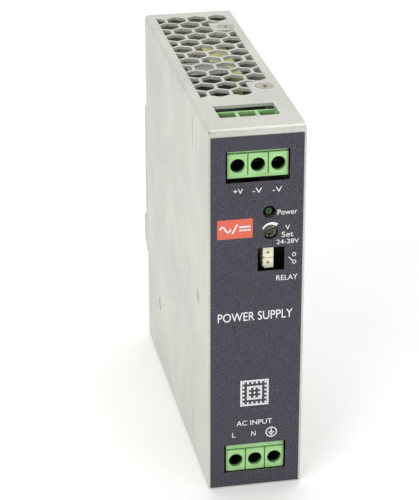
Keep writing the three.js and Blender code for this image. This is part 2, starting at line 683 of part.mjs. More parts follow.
// A compression spring between the bracket's ledge and the latch's lug.
function latchSpring() {
  class Helix extends THREE.Curve {
    getPoint(t, target = new THREE.Vector3()) {
      const angle = t * SPRING.turns * 2 * Math.PI;
      const end = SPRING.wire;
      const z = SPRING.low + end + t * (SPRING.high - SPRING.low - 2 * end);
      return target.set(SPRING.radius * Math.cos(angle), SPRING.y + SPRING.radius * Math.sin(angle), z);
    }
  }
  const section = new THREE.Shape();
  section.absarc(0, 0, SPRING.wire, 0, 2 * Math.PI, false);
  return solid(new THREE.ExtrudeGeometry(section, {
    steps: 76,
    curveSegments: 3,
    extrudePath: new Helix(),
  }));
}

function bracketScrew(side) {
  const x = side * BRACKET_SCREW.x;
  const { z } = BRACKET_SCREW;
  return cut(
    turned("y", z, x, [
      [0, 113.4], [1.42, 113.4], [1.42, SEAT - 1.5], [2.85, SEAT - 0.07], [0, SEAT - 0.07],
    ], 16),
    box(x - 1.4, x + 1.4, SEAT - 1, SEAT + 1, z - 0.35, z + 0.35),
    box(x - 0.35, x + 0.35, SEAT - 1, SEAT + 1, z - 1.4, z + 1.4),
  );
}

// ---------------------------------------------------------------- assembly

add("housing_shell", housingShell(), "case_metal");
add("side_cover", sideCover(), "case_metal");
add("front_label", frontLabel(), "label");
COVER_SCREWS.forEach(({ name, x, y }) => {
  add(`cover_screw_top_${name}`, coverScrew(x, y, 1), "screw_metal");
  add(`cover_screw_bottom_${name}`, coverScrew(x, y, -1), "screw_metal");
});

add("insulation_sheet", insulationSheet(), "liner");
add("main_board", mainBoard(), "board_green");
add("signal_board", signalBoard(), "board_black");
STANDOFFS.forEach((place) => {
  add(`board_standoff_${place.name}`, standoff(place), "screw_metal");
  add(`board_screw_${place.name}`, boardScrew(place), "screw_metal");
});

[OUTPUT, INPUT].forEach((block) => {
  const { label } = block;
  add(`${label}_terminal_block`, terminalBlock(block), "terminal_green");
  add(`${label}_terminal_board`, terminalBoard(block), "board_green");
  for (let index = 0; index < POLES; index += 1) {
    const pole = index + 1;
    add(`${label}_terminal_screw_${pole}`, terminalScrew(block, index), "screw_dark");
    add(`${label}_wire_clamp_${pole}`, wireClamp(block, index), "terminal_metal");
    add(`${label}_contact_${pole}`, terminalContact(block, index), "contact_tin");
  }
});

add("status_lamp", statusLamp(), "lamp_green");
add("trimmer_body", trimmerBody(), "trimmer_white");
add("trimmer_rotor", trimmerRotor(), "trimmer_rotor");
add("relay_socket", relaySocket(), "socket_cream");

add("bulk_capacitor_front", canCapacitor(40, 36, 9, 22), "capacitor");
add("bulk_capacitor_rear", canCapacitor(62, 36, 9, 22), "capacitor");
add("output_capacitor_front", canCapacitor(32.4, 112, 5, 20), "capacitor");
add("output_capacitor_rear", canCapacitor(43.6, 112, 5, 20), "capacitor");
add("transformer_core", transformerCore(), "ferrite");
add("transformer_winding", transformerWinding(), "tape_yellow");
add("primary_heatsink", primaryHeatsink(), "heatsink");
add("secondary_heatsink", secondaryHeatsink(), "heatsink");
add("switching_transistor", powerPackage(60.8, 71.2, 54.3, 58.7), "package_black");
add("bridge_rectifier", powerPackage(35, 55, 54.3, 58.7), "package_black");
add("output_rectifier", powerPackage(59.2, 63.6, 85, 100.4), "package_black");
add("filter_choke", ringChoke(99, 20, 10, 4.2, 13), "copper");
add("output_choke", ringChoke(56, 109, 7, 3, 11), "copper");
add("film_capacitor", filmCapacitor(), "film_yellow");
add("fuse", fuse(), "fuse");

add("din_bracket", dinBracket(), "clip_metal");
add("din_latch", dinLatch(), "clip_metal");
add("latch_spring", latchSpring(), "spring_steel");
add("bracket_screw_left", bracketScrew(-1), "screw_metal");
add("bracket_screw_right", bracketScrew(1), "screw_metal");

export default part;
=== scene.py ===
import json
import math

import bmesh
import bpy
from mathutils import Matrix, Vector


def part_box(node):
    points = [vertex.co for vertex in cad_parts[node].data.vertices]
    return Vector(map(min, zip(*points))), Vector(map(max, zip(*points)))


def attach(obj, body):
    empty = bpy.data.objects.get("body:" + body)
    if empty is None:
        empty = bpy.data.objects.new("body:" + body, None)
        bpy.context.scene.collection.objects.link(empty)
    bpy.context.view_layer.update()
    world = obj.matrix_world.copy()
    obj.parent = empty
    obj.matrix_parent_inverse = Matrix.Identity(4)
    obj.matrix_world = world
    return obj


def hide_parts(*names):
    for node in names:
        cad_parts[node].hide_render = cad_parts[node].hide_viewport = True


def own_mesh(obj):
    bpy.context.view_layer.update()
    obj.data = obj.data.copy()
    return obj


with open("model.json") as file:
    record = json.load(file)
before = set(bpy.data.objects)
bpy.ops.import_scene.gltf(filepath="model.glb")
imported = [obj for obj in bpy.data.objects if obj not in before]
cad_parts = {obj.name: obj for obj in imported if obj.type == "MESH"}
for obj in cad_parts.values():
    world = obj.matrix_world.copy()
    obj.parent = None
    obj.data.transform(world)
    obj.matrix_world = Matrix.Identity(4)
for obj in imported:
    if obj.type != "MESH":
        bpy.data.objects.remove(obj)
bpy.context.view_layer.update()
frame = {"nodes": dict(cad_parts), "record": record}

NODES = frame["nodes"]
MM = 0.001


# ---------------------------------------------------------------- colours and materials

def srgb(red, green, blue):
    """A colour given as 0 to 255 sRGB, as linear light with alpha."""
    def channel(value):
        c = value / 255
        return c / 12.92 if c <= 0.04045 else ((c + 0.055) / 1.055) ** 2.4
    return (channel(red), channel(green), channel(blue), 1.0)


BLACK, WHITE = (0, 0, 0, 1), (1, 1, 1, 1)
NOISE_ROUGHNESS = 0.55  # how strong each finer layer of noise is
NOISE_SPAN = (0.3, 0.7)  # where nearly all of the noise's values lie


class Finish:
    """A procedural material: a Principled shader with noise for colour, gloss and relief."""

    def __init__(self, name, color, roughness, metallic=0.0, **sockets):
        self.material = bpy.data.materials.new(name)
        self.material.use_nodes = True
        self.nodes = self.material.node_tree.nodes
        self.links = self.material.node_tree.links
        self.shader = self.nodes["Principled BSDF"]
        self.coordinates = self.nodes.new("ShaderNodeTexCoord").outputs["Object"]
        self.shader.inputs["Base Color"].default_value = color
        self.shader.inputs["Roughness"].default_value = roughness
        self.shader.inputs["Metallic"].default_value = metallic
        for socket, value in sockets.items():
            self.shader.inputs[socket.replace("_", " ")].default_value = value
        self.color = None

    def mapped(self, stretch):
        """Object coordinates stretched along the axes, so that the grain runs one way."""
        if stretch == (1, 1, 1):
            return self.coordinates
        mapping = self.nodes.new("ShaderNodeMapping")
        mapping.inputs["Scale"].default_value = stretch
        self.links.new(self.coordinates, mapping.inputs["Vector"])
        return mapping.outputs["Vector"]

    def noise(self, size_mm, detail=3.0, stretch=(1, 1, 1)):
        """Noise whose grain has the given size."""
        node = self.nodes.new("ShaderNodeTexNoise")
        node.inputs["Scale"].default_value = 1 / (size_mm * MM)
        node.inputs["Detail"].default_value = detail
        node.inputs["Roughness"].default_value = NOISE_ROUGHNESS
        self.links.new(self.mapped(stretch), node.inputs["Vector"])
        return node.outputs["Fac"]

    def ramp(self, value, low, high, first, second):
        """A colour that goes from the first to the second as the value goes from low to high."""
        node = self.nodes.new("ShaderNodeValToRGB")
        node.color_ramp.elements[0].position = low
        node.color_ramp.elements[1].position = high
        node.color_ramp.elements[0].color = first
        node.color_ramp.elements[1].color = second
        self.links.new(value, node.inputs["Fac"])
        return node.outputs["Color"]

    def blend(self, mask, other):
        """Mixes the colour so far with another one, by a mask."""
        mix = self.nodes.new("ShaderNodeMix")
        mix.data_type = "RGBA"
        self.links.new(mask, mix.inputs["Factor"])
        self.links.new(self.color, mix.inputs["A"])
        mix.inputs["B"].default_value = other
        self.color = mix.outputs["Result"]

    def tint(self, size_mm, other, low=0.35, high=0.65, **noise):
        """Mottles the base colour towards another one."""
        value = self.noise(size_mm, **noise)
        if self.color is None:
            base = tuple(self.shader.inputs["Base Color"].default_value)
            self.color = self.ramp(value, low, high, base, other)
        else:
            self.blend(self.ramp(value, low, high, BLACK, WHITE), other)
        self.links.new(self.color, self.shader.inputs["Base Color"])
        return self

    def paint_well_shade(self, other, depths, heights):
        """Paints shade into a moulding's wells: the colour goes darker by depth behind the front
        and by depth below the top, as painted shade. Each pair is where that painted shade starts
        and where it is full."""
        place = self.nodes.new("ShaderNodeSeparateXYZ")
        self.links.new(self.coordinates, place.inputs["Vector"])
        masks = []
        for axis, (start, full) in (("Y", depths), ("Z", heights)):
            mask = self.nodes.new("ShaderNodeMapRange")
            mask.inputs["From Min"].default_value = start
            mask.inputs["From Max"].default_value = full
            self.links.new(place.outputs[axis], mask.inputs["Value"])
            masks.append(mask.outputs["Result"])
        both = self.nodes.new("ShaderNodeMath")
        both.operation = "MULTIPLY"
        self.links.new(masks[0], both.inputs[0])
        self.links.new(masks[1], both.inputs[1])
        self.blend(both.outputs["Value"], other)
        self.links.new(self.color, self.shader.inputs["Base Color"])
        return self

    def gloss(self, size_mm, rough_low, rough_high, **noise):
        """Varies the roughness over the surface."""
        value = self.noise(size_mm, **noise)
        node = self.nodes.new("ShaderNodeMapRange")
        node.inputs["From Min"].default_value, node.inputs["From Max"].default_value = NOISE_SPAN
        node.inputs["To Min"].default_value = rough_low
        node.inputs["To Max"].default_value = rough_high
        self.links.new(value, node.inputs["Value"])
        self.links.new(node.outputs["Result"], self.shader.inputs["Roughness"])
        return self

    def relief(self, size_mm, depth_mm, strength=0.5, **noise):
        """Raises a fine grain on the surface."""
        value = self.noise(size_mm, **noise)
        bump = self.nodes.new("ShaderNodeBump")
        bump.inputs["Distance"].default_value = depth_mm * MM
        bump.inputs["Strength"].default_value = strength
        self.links.new(value, bump.inputs["Height"])
        self.links.new(bump.outputs["Normal"], self.shader.inputs["Normal"])
        return self


BLOCK_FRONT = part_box("output_terminal_block")[0].y
BLOCK_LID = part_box("output_terminal_block")[1].z
# Where the painted shade in the terminal wells starts and is full, behind the front and below the
# top.
WELL_SHADE_DEPTHS = (BLOCK_FRONT + 0.45 * MM, BLOCK_FRONT + 1.7 * MM)
WELL_SHADE_HEIGHTS = (BLOCK_LID - 0.1 * MM, BLOCK_LID - 2.8 * MM)


def build_materials():
    """Every finish by name: the record's material slots, what the small pieces need, the printed
    inks and the floor. Grain sizes and depths are in millimetres."""
    made = {}

    def add(name, *args, **kwargs):
        made[name] = Finish(name, *args, **kwargs)
        return made[name]

    case = add("case_metal", srgb(204, 203, 195), 0.42, 0.35)
    case.tint(26, srgb(188, 190, 183), detail=2)
    case.tint(0.5, srgb(217, 216, 208), 0.5, 0.72, detail=2)
    case.gloss(3, 0.36, 0.5, stretch=(1, 1, 0.12)).relief(0.35, 0.02, 0.35, detail=2)

    label = add("label", srgb(53, 51, 60), 0.58)
    label.tint(0.42, srgb(79, 76, 91), 0.46, 0.62, detail=3)
    label.tint(0.3, srgb(28, 27, 38), 0.5, 0.62, detail=2)
    label.gloss(0.6, 0.48, 0.66).relief(0.3, 0.03, 0.6, detail=2)

    green = add("terminal_green", srgb(166, 211, 146), 0.34, Subsurface_Weight=0.08,
                Subsurface_Radius=(MM, MM, 0.6 * MM))
    green.tint(3.5, srgb(150, 200, 130), detail=3).gloss(1.5, 0.28, 0.42).relief(0.25, 0.012, 0.4)
    # Painted shade: the green goes near black deep inside the terminal wells.
    green.paint_well_shade(srgb(14, 34, 12), WELL_SHADE_DEPTHS, WELL_SHADE_HEIGHTS)

    screw = add("screw_metal", srgb(200, 198, 182), 0.34, 0.9)
    screw.tint(0.8, srgb(172, 168, 146), detail=3).gloss(0.5, 0.26, 0.46).relief(0.2, 0.01, 0.4)

    steel = add("terminal_metal", srgb(196, 196, 192), 0.3, 1.0)
    steel.tint(0.9, srgb(160, 158, 150), detail=3).gloss(0.5, 0.22, 0.42).relief(0.15, 0.01, 0.4)

    # The terminal screws deep in their wells: a darker copy of the screw steel, whose dark tone is
    # painted shade.
    shaded_screw = add("screw_dark", srgb(52, 51, 50), 0.26, 1.0)
    shaded_screw.tint(0.7, srgb(26, 26, 26), detail=3).gloss(0.4, 0.16, 0.36).relief(0.15, 0.01, 0.4)

    tin = add("contact_tin", srgb(208, 204, 190), 0.36, 1.0)
    tin.tint(0.8, srgb(182, 176, 158), detail=3).gloss(0.4, 0.28, 0.46)

    board = add("board_green", srgb(28, 84, 44), 0.38)
    board.tint(5, srgb(22, 70, 38), detail=4).tint(0.9, srgb(58, 120, 70), 0.58, 0.62, detail=1)
    board.gloss(1, 0.3, 0.45).relief(0.8, 0.03, 0.5)

    black_board = add("board_black", srgb(20, 21, 22), 0.5)
    black_board.tint(1.2, srgb(28, 30, 31), detail=3).gloss(1, 0.42, 0.6)

    lamp = add("lamp_green", srgb(12, 50, 18), 0.3, IOR=1.5)
    lamp.tint(1.4, srgb(8, 34, 12), detail=2)

    # A lighter green for the painted reflection that shows as a ring in the lamp's lens.
    ring = add("lamp_painted_reflection", srgb(70, 128, 66), 0.35)
    ring.tint(0.3, srgb(38, 88, 40), detail=2)

    white = add("trimmer_white", srgb(226, 222, 206), 0.45)
    white.tint(1.2, srgb(210, 204, 186), detail=3).relief(0.3, 0.01, 0.4)

    rotor = add("trimmer_rotor", srgb(214, 208, 176), 0.38, 0.3)
    rotor.tint(0.6, srgb(44, 41, 28), 0.48, 0.56, detail=4)
    rotor.gloss(0.3, 0.25, 0.6).relief(0.25, 0.04, 0.6)

    cream = add("socket_cream", srgb(253, 249, 226), 0.42, Subsurface_Weight=0.1,
                Subsurface_Radius=(MM, 0.8 * MM, 0.5 * MM))
    cream.tint(1.6, srgb(247, 240, 208), detail=3).relief(0.3, 0.012, 0.4)

    liner = add("liner", srgb(44, 46, 52), 0.42)
    liner.tint(6, srgb(54, 56, 62), detail=3).gloss(2, 0.35, 0.52)

    sleeve = add("capacitor", srgb(36, 36, 42), 0.36)
    sleeve.tint(2.5, srgb(48, 47, 54), detail=3).gloss(1, 0.3, 0.45).relief(0.6, 0.02, 0.4)

    ferrite = add("ferrite", srgb(96, 97, 80), 0.66, 0.1)
    ferrite.tint(0.8, srgb(118, 118, 98), 0.5, 0.66, detail=4).relief(0.5, 0.05, 0.6)

    tape = add("tape_yellow", srgb(220, 217, 150), 0.4)
    tape.tint(4, srgb(204, 200, 128), detail=3)
    tape.tint(1.1, srgb(230, 228, 172), 0.55, 0.7, stretch=(0.2, 1, 1))
    tape.gloss(1.5, 0.3, 0.5).relief(1.2, 0.05, 0.5, stretch=(0.15, 1, 1))

    sink = add("heatsink", srgb(184, 187, 186), 0.42, 0.9)
    sink.tint(2.5, srgb(164, 168, 168), detail=3)
    sink.gloss(1, 0.34, 0.52, stretch=(1, 0.1, 1)).relief(0.3, 0.01, 0.5, stretch=(1, 0.08, 1))

    package = add("package_black", srgb(34, 34, 36), 0.5)
    package.tint(1, srgb(46, 46, 48), detail=3).relief(0.25, 0.02, 0.5)

    core = add("choke_core", srgb(40, 44, 42), 0.55)
    core.tint(1.2, srgb(56, 60, 56), detail=3).relief(0.4, 0.03, 0.5)

    copper = add("copper", srgb(72, 48, 34), 0.3, 0.85, Coat_Weight=0.5)
    copper.tint(2, srgb(52, 34, 24), detail=3).gloss(0.8, 0.22, 0.4)

    film = add("film_yellow", srgb(206, 186, 70), 0.38)
    film.tint(3, srgb(192, 170, 58), detail=3).relief(0.5, 0.02, 0.4)

    glaze = add("fuse", srgb(228, 224, 208), 0.25)
    glaze.tint(2, srgb(216, 210, 190), detail=3)

    clip = add("clip_metal", srgb(206, 207, 202), 0.38, 0.7)
    clip.tint(6, srgb(188, 190, 186), detail=3).tint(0.8, srgb(216, 217, 212), 0.52, 0.7, detail=2)
    clip.gloss(2, 0.3, 0.5, stretch=(0.2, 1, 1)).relief(0.3, 0.015, 0.4)

    spring = add("spring_steel", srgb(176, 178, 180), 0.26, 1.0)
    spring.tint(0.7, srgb(150, 152, 154), detail=3)

    ink = add("ink_white", srgb(238, 238, 238), 0.5)
    ink.tint(0.25, srgb(214, 214, 216), 0.5, 0.75, detail=3)

    badge = add("badge_red", srgb(222, 106, 82), 0.45)
    badge.tint(0.4, srgb(212, 94, 72), detail=3)

    floor = add("floor", srgb(249, 249, 248), 0.75, Emission_Color=WHITE, Emission_Strength=0.07)
    floor.tint(60, srgb(247, 247, 246), detail=2)
    return {name: finish.material for name, finish in made.items()}


MATERIALS = build_materials()


def paint(obj, name):
    obj.data.materials.clear()
    obj.data.materials.append(MATERIALS[name])


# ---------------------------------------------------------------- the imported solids

SLOTS = {entry["node"]: entry["material_slot"] for entry in frame["record"]["subparts"]}
SMALL_EDGE_MM = 0.1  # the rounding of every solid that isn't named below
EDGE_MM = {
    "housing_shell": 0.12,
    "side_cover": 0.15,
    "front_label": 0.0,
    "output_terminal_block": 0.12,
    "input_terminal_block": 0.12,
    "din_bracket": 0.18,
    "din_latch": 0.22,
    "latch_spring": 0.0,
}
ONE_FACE = math.radians(0.5)  # triangles that meet at less than this are one flat face
REAL_EDGE = math.radians(35)  # edges that turn by more than this are rounded
SAME_POINT = 2e-6  # corners nearer than this, in metres, are one corner


def soften(obj, width_mm):
    """Rounds a solid's real edges and leaves its flat faces flat."""
    flat = obj.modifiers.new("flat", "DECIMATE")
    flat.decimate_type = "DISSOLVE"
    flat.angle_limit = ONE_FACE
    flat.delimit = {"SHARP"}
    edge = obj.modifiers.new("edge", "BEVEL")
    edge.width = width_mm * MM
    edge.segments = 2
    edge.limit_method = "ANGLE"
    edge.angle_limit = REAL_EDGE
    edge.use_clamp_overlap = True
    # The largest face at a corner sets its normal. Without this, smooth shading runs on from
    # the folds over the flats beside them.
    even = obj.modifiers.new("even", "WEIGHTED_NORMAL")
    even.mode = "FACE_AREA"
    even.weight = 100
    even.thresh = 0.01
    even.keep_sharp = False


def weld(obj):
    """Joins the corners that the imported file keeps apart, so that edges can be rounded."""
    join = obj.modifiers.new("join", "WELD")
    join.merge_threshold = SAME_POINT


def dress_solids():
    """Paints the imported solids. Those with rounded edges are shaded smooth, and the rest flat."""
    for name, obj in NODES.items():
        paint(obj, SLOTS[name])
        width = EDGE_MM.get(name, SMALL_EDGE_MM)
        obj.data.polygons.foreach_set("use_smooth", [width > 0] * len(obj.data.polygons))
        weld(obj)
        if width:
            soften(obj, width)


# ---------------------------------------------------------------- making pieces

def add_object(name, mesh, finish, body):
    """A new piece that rides on a body, painted with the named finish."""
    obj = bpy.data.objects.new(name, mesh)
    bpy.context.scene.collection.objects.link(obj)
    paint(obj, finish)
    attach(obj, body)
    return obj


def finished_mesh(name, work, smooth=False):
    """Turns a bmesh into a mesh whose faces look outwards."""
    bmesh.ops.recalc_face_normals(work, faces=work.faces)
    mesh = bpy.data.meshes.new(name)
    work.to_mesh(mesh)
    work.free()
    mesh.polygons.foreach_set("use_smooth", [smooth] * len(mesh.polygons))
    return mesh


def join_loops(work, first, second):
    """A closed band of quads between two loops that have as many corners as each other."""
    count = len(first)
    for i in range(count):
        j = (i + 1) % count
        work.faces.new([first[i], first[j], second[j], second[i]])


def circle_angles(steps):
    return [2 * math.pi * step / steps for step in range(steps)]


def middle_of(node):
    low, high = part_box(node)
    return (Vector(low) + Vector(high)) / 2


def radius_of(node):
    """Half of a round solid's height, in millimetres."""
    low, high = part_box(node)
    return (high.z - low.z) / 2 / MM


# ---------------------------------------------------------------- the label's printing

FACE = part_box("front_label")[0].y  # the label's outer face
INK = 0.03 * MM  # how far printing stands proud
CURVE_STEPS = 4  # the pieces in each curve of a letter

# Piece, words, left, right, height of the middle and height of the letters, in millimetres.
WORDS = (
    ("print_output_plus", "+V", -7.5, -4.5, 104.0, 1.7),
    ("print_output_minus_a", "-V", -1.5, 1.45, 103.9, 1.7),
    ("print_output_minus_b", "-V", 4.75, 7.7, 103.8, 1.7),
    ("print_status", "Power", 6.4, 12.6, 96.1, 1.75),
    ("print_volts", "V", 8.9, 10.4, 90.9, 1.6),
    ("print_adjust", "Set", 7.8, 11.5, 88.6, 1.75),
    ("print_adjust_range", "24-28V", 6.2, 13.3, 86.2, 1.5),
    ("print_signal", "RELAY", 6.3, 13.1, 73.95, 1.7),
    ("print_title", "POWER SUPPLY", -12.2, 11.7, 61.5, 3.0),
    ("print_mains", "AC INPUT", -6.0, 5.6, 23.5, 1.75),
    ("print_live", "L", -7.4, -6.4, 19.45, 1.7),
    ("print_neutral", "N", -1.15, 0.25, 19.45, 1.7),
)


def plate_from_outline(name, loops, finish, low=0.0, high=INK):
    """A thin printed shape between two heights over the label. Each loop is a list of (x, z) in
    millimetres, and the loops don't overlap."""
    work = bmesh.new()
    for loop in loops:
        near, far = ([work.verts.new((x * MM, FACE - proud, z * MM)) for x, z in loop]
                     for proud in (high, low))
        work.faces.new(near)
        work.faces.new(list(reversed(far)))
        join_loops(work, near, far)
    return add_object(name, finished_mesh(name, work), finish, "housing")


def lettering(name, words, left, right, middle, height):
    """A printed word between two places across the label, in millimetres."""
    curve = bpy.data.curves.new(name, "FONT")
    curve.body = words
    curve.resolution_u = CURVE_STEPS
    maker = bpy.data.objects.new(name, curve)
    bpy.context.scene.collection.objects.link(maker)
    bpy.context.view_layer.update()
    evaluated = maker.evaluated_get(bpy.context.evaluated_depsgraph_get())
    flat = bpy.data.meshes.new_from_object(evaluated)
    bpy.data.objects.remove(maker)
    xs = [v.co.x for v in flat.vertices]
    ys = [v.co.y for v in flat.vertices]
    scale_x = (right - left) * MM / (max(xs) - min(xs))
    scale_z = height * MM / (max(ys) - min(ys))
    centre = (max(ys) + min(ys)) / 2
    for v in flat.vertices:
        x = (v.co.x - min(xs)) * scale_x + left * MM
        z = (v.co.y - centre) * scale_z + middle * MM
        v.co = Vector((x, FACE - INK, z))
    work = bmesh.new()
    work.from_mesh(flat)
    bmesh.ops.remove_doubles(work, verts=work.verts, dist=SAME_POINT)
    grown = bmesh.ops.extrude_face_region(work, geom=work.faces[:])
    for v in (g for g in grown["geom"] if isinstance(g, bmesh.types.BMVert)):
        v.co.y = FACE
    bmesh.ops.recalc_face_normals(work, faces=work.faces)
    work.to_mesh(flat)
    work.free()
    return add_object(name, flat, "ink_white", "housing")


def rectangle(x0, x1, z0, z1):
    return [(x0, z0), (x1, z0), (x1, z1), (x0, z1)]


def stroke(points, width):
    """Quads that draw an open line of a given width, one for each stretch."""
    quads = []
    for (x0, z0), (x1, z1) in zip(points, points[1:]):
        dx, dz = x1 - x0, z1 - z0
        length = math.hypot(dx, dz)
        nx, nz = -dz / length * width / 2, dx / length * width / 2
        quads.append([(x0 + nx, z0 + nz), (x0 - nx, z0 - nz),
                      (x1 - nx, z1 - nz), (x1 + nx, z1 + nz)])
    return quads


def ring_strokes(x, z, radius, width, steps):
    """The quads of a circular line."""
    quads = []
    for step in range(steps):
        a, b = (2 * math.pi * s / steps for s in (step, step + 1))
        inner, outer = radius - width / 2, radius + width / 2
        quads.append([(x + r * math.cos(t), z + r * math.sin(t))
                      for r, t in ((inner, a), (outer, a), (outer, b), (inner, b))])
    return quads


def tapered_arc(x, z, radii, angles, widths, steps=16):
    """The quads of an arc whose radius and width change evenly from one end to the other."""
    rails = []
    for step in range(steps + 1):
        t = step / steps
        radius, angle, width = (a + (b - a) * t for a, b in (radii, angles, widths))
        turn = math.radians(angle)
        rails.append([(x + r * math.cos(turn), z + r * math.sin(turn))
                      for r in (radius - width / 2, radius + width / 2)])
    return [[a[0], a[1], b[1], b[0]] for a, b in zip(rails, rails[1:])]


def contact_sign():
    """Two terminals and an open blade."""
    radius, line, steps = 0.55, 0.22, 16
    sign = ring_strokes(11.85, 81.55, radius, line, steps)
    sign += ring_strokes(11.9, 79.05, radius, line, steps)
    return sign + stroke([(10.05, 80.85), (11.55, 79.3)], 0.24)


def earth_sign():
    """A stem over three bars, in a ring."""
    x, z = 5.4, 19.4
    sign = ring_strokes(x, z, 1.7, 0.32, 28)
    sign += stroke([(x, z + 1.3), (x, z + 0.1)], 0.34)
    for width, drop in ((1.9, 0.05), (1.2, 0.6), (0.5, 1.15)):
        sign += stroke([(x - width / 2, z - drop), (x + width / 2, z - drop)], 0.3)
    return sign


def converter_sign():
    """The general sign for a converter: a wave for alternating current, a slash, and a line over
    three dashes for direct current."""
    middle, line = 91.6, 0.5
    left, span, swing, steps = -11.7, 3.5, 0.95, 12
    wave = [(left + span * step / steps, middle + swing * math.sin(2 * math.pi * step / steps))
            for step in range(steps + 1)]
    slash = [(-7.75, middle - 1.5), (-6.15, middle + 1.5)]
    start, end, gap = -5.6, -2.0, 0.55
    sign = stroke(wave, line) + stroke(slash, line)
    sign += stroke([(start, middle + gap), (end, middle + gap)], line)
    dash, pitch = 1.0, 1.3
    for x in (start + pitch * count for count in range(3)):
        sign += stroke([(x, middle - gap), (x + dash, middle - gap)], line)
    return sign


def square_pattern():
    """A plain decorative lattice of squares that encodes nothing."""
    left, bottom, cells, cell, inset = -4.9, 29.6, 13, 0.715, 0.06
    middle = cells // 2
    squares = []
    for row in range(cells):
        for column in range(cells):
            ring = max(abs(row - middle), abs(column - middle))
            if ring in (6, 3, 0) or (ring in (5, 2) and (row + column) % 2 == 0):
                x, z = left + column * cell, bottom + row * cell
                squares.append(rectangle(x + inset, x + cell - inset,
                                         z + inset, z + cell - inset))
    return squares


def print_label():
    for entry in WORDS:
        lettering(*entry)
    plate_from_outline("print_relay_contact", contact_sign(), "ink_white")
    plate_from_outline("print_earth", earth_sign(), "ink_white")
    arc = tapered_arc(4.3, 89.6, (2.8, 3.1), (152, 50), (0.38, 0.98))
    plate_from_outline("print_adjust_arc", arc, "ink_white")
    plate_from_outline("badge_field", [rectangle(-12.45, -1.35, 88.4, 94.8)], "badge_red")
    plate_from_outline("badge_converter", converter_sign(), "ink_white", INK, 2 * INK)
    plate_from_outline("print_lattice", square_pattern(), "ink_white")


# ---------------------------------------------------------------- detail on the working parts

LATHE_EDGE_MM = 0.08


def tube(name, path, radius_mm, finish, closed=False, sides=7, body="housing"):
    """A round wire or bead along a list of points in metres."""
    work = bmesh.new()
    count = len(path)
    rings = []
    side = None
    for i, point in enumerate(path):
        ahead = path[(i + 1) % count] if closed else path[min(i + 1, count - 1)]
        behind = path[i - 1] if closed or i else path[0]
        along = (ahead - behind).normalized()
        if side is None:
            side = along.orthogonal()
        side = (side - along * side.dot(along)).normalized()
        other = along.cross(side)
        rings.append([
            work.verts.new(point + (side * math.cos(a) + other * math.sin(a)) * radius_mm * MM)
            for a in circle_angles(sides)])
    pairs = list(zip(rings, rings[1:]))
    if closed:
        pairs.append((rings[-1], rings[0]))
    for first, second in pairs:
        join_loops(work, first, second)
    if not closed:
        work.faces.new(list(reversed(rings[0])))
        work.faces.new(rings[-1])
    return add_object(name, finished_mesh(name, work, smooth=True), finish, body)


def lathe(name, centre, axis, profile, finish, sides=32):
    """A solid of revolution. The profile is (radius, distance along the axis) in millimetres, a
    closed loop that stays off the axis."""
    along = Vector(axis)
    side = along.orthogonal().normalized()
    other = along.cross(side)
    work = bmesh.new()
    rings = []
    for a in circle_angles(sides):
        out = side * math.cos(a) + other * math.sin(a)
        rings.append([work.verts.new(centre + along * d * MM + out * r * MM) for r, d in profile])
    for first, second in zip(rings, rings[1:] + rings[:1]):
        join_loops(work, first, second)
    piece = add_object(name, finished_mesh(name, work, smooth=True), finish, "housing")
    soften(piece, LATHE_EDGE_MM)


def coil_spring():
    """The latch's spring with closed end turns. The whole coil rides on the latch."""
    low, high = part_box("latch_spring")
    centre = middle_of("latch_spring")
    wire = 0.28 * MM  # half of its thickness
    turns, closed, per_turn = 7.5, 1.0, 20
    radius = (high.x - low.x) / 2 - wire
    bottom, top = low.z + wire, high.z - wire
    lead = 2.1 * wire  # rise of one closed turn
    open_rise = top - bottom - 2 * lead * closed
    path = []
    for step in range(int(turns * per_turn) + 1):
        turn = step / per_turn
        if turn < closed:
            z = bottom + lead * turn
        elif turn > turns - closed:
            z = top - lead * (turns - turn)
        else:
            z = bottom + lead * closed + open_rise * (turn - closed) / (turns - 2 * closed)
        angle = 2 * math.pi * turn
        path.append(Vector((centre.x + radius * math.cos(angle),
                            centre.y + radius * math.sin(angle), z)))
    spring = tube("latch_spring_coil", path, wire / MM, "spring_steel",
                  sides=10, body="latch")
    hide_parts("latch_spring")
    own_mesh(spring)


def lamp_painted_reflection():
    """A lighter green ring in the lamp's lens: a painted reflection."""
    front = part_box("status_lamp")[0].y
    lens = middle_of("status_lamp")
    ring, bead, behind = 0.8 * MM, 0.17, 0.22 * MM
    path = [Vector((lens.x + ring * math.cos(a), front + behind, lens.z + ring * math.sin(a)))
            for a in circle_angles(24)]
    tube("lamp_lens_painted_reflection", path, bead, "lamp_painted_reflection", closed=True)


def wind_choke(node, hole_mm, turns, wire_mm):
    """Enamelled wire wound round a ring core that stands with its axis across the case."""
    low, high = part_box(node)
    centre = middle_of(node)
    outer = radius_of(node)
    radial = (outer - hole_mm) / 2 + wire_mm / 2
    half = (high.x - low.x) / 2 / MM + wire_mm / 2
    ring = (outer + hole_mm) / 2
    start, sweep = math.radians(110), math.radians(318)  # the wound part of the ring
    per_turn, squareness = 14, 0.55
    steps = turns * per_turn
    path = []
    for step in range(steps + 1):
        t = step / steps
        around = sweep * t + start
        turn = 2 * math.pi * turns * t
        c, d = math.cos(turn), math.sin(turn)
        r = ring + radial * math.copysign(abs(c) ** squareness, c)
        x = half * math.copysign(abs(d) ** squareness, d)
        path.append(centre + Vector((x, r * math.cos(around), r * math.sin(around))) * MM)
    paint(NODES[node], "choke_core")
    tube(node + "_winding", path, wire_mm / 2, "copper")


